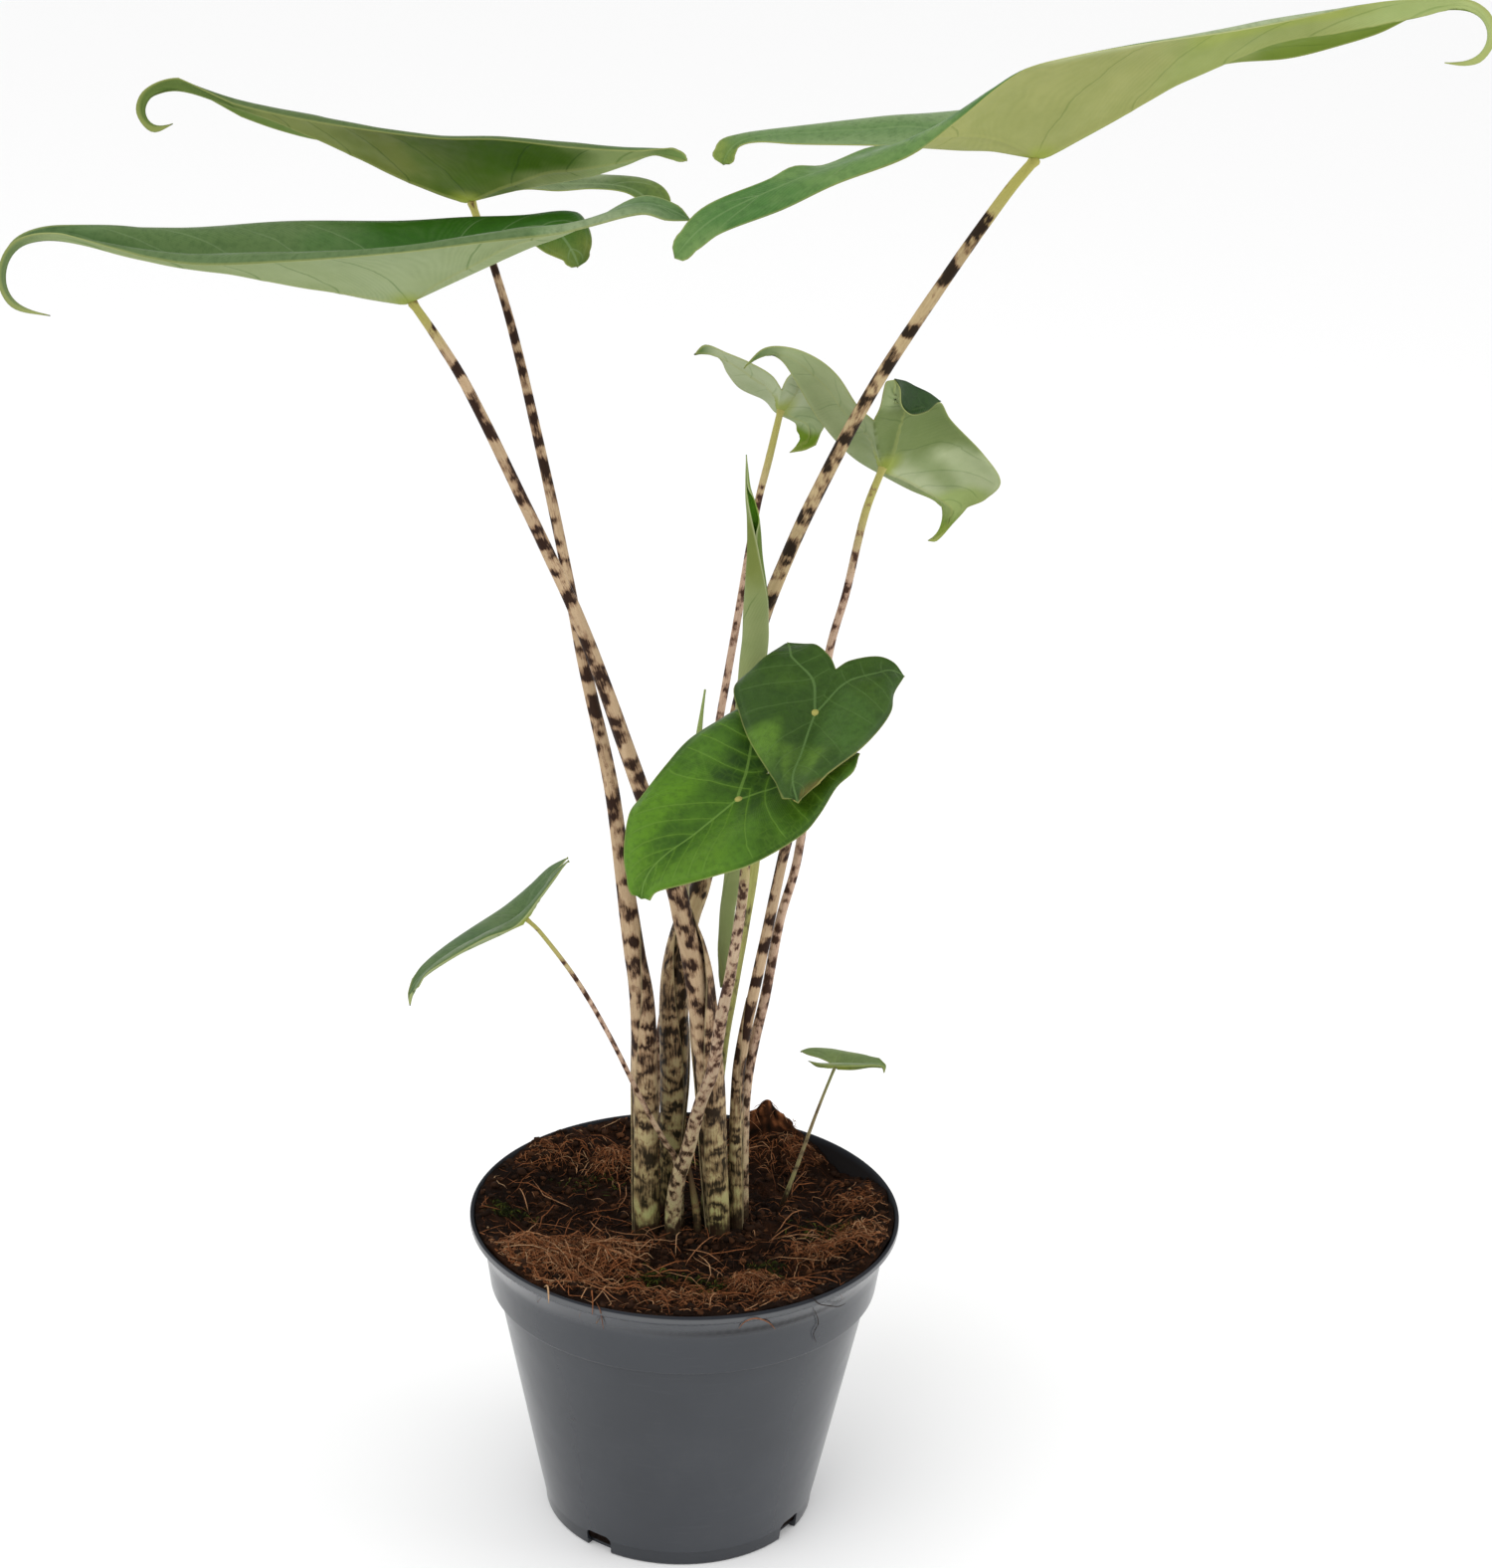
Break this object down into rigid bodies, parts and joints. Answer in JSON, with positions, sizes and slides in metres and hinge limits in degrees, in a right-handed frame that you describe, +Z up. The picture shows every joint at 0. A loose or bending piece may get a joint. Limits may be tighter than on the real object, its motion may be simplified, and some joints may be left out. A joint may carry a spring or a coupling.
{
  "type": "potted alocasia",
  "caption": "Arrow-leaved potted alocasia with mottled stalks standing in soil in a round plastic nursery pot.",
  "frame": {"origin": "centre of the pot's underside", "axes": "+Z up along the pot's axis; -Y towards the viewer of the picture"},
  "size_m": [0.5106, 0.1817, 0.6067],
  "materials": {
    "pot_plastic": "satin slate-grey plastic with fine dust and scratches",
    "soil_peat": null,
    "leaf_green": null,
    "leaf_pale": null,
    "stalk_mottled": null,
    "spear_green": "satin light green",
    "dry_brown": "dry matt dark brown sheath"
  },
  "bodies": {
    "root": {"pot": "pot_plastic", "soil": "soil_peat", "blade_left_low": "leaf_pale", "blade_left_high": "leaf_pale", "blade_right_high": "leaf_pale", "blade_right_mid": "leaf_pale", "blade_back_small": "leaf_pale", "blade_rolled": "leaf_pale", "blade_front_low": "leaf_green", "blade_front_heart": "leaf_green", "blade_left_small": "leaf_green", "blade_right_small": "leaf_green", "stalk_left_low": "stalk_mottled", "stalk_left_high": "stalk_mottled", "stalk_right_high": "stalk_mottled", "stalk_right_mid": "stalk_mottled", "stalk_back_small": "stalk_mottled", "stalk_front_low": "stalk_mottled", "stalk_front_heart": "stalk_mottled", "stalk_left_small": "stalk_mottled", "stalk_right_small": "stalk_mottled", "stalk_rolled": "stalk_mottled", "spear_leaf": "spear_green", "dry_sheath": "dry_brown"}
  },
  "joints": []
}
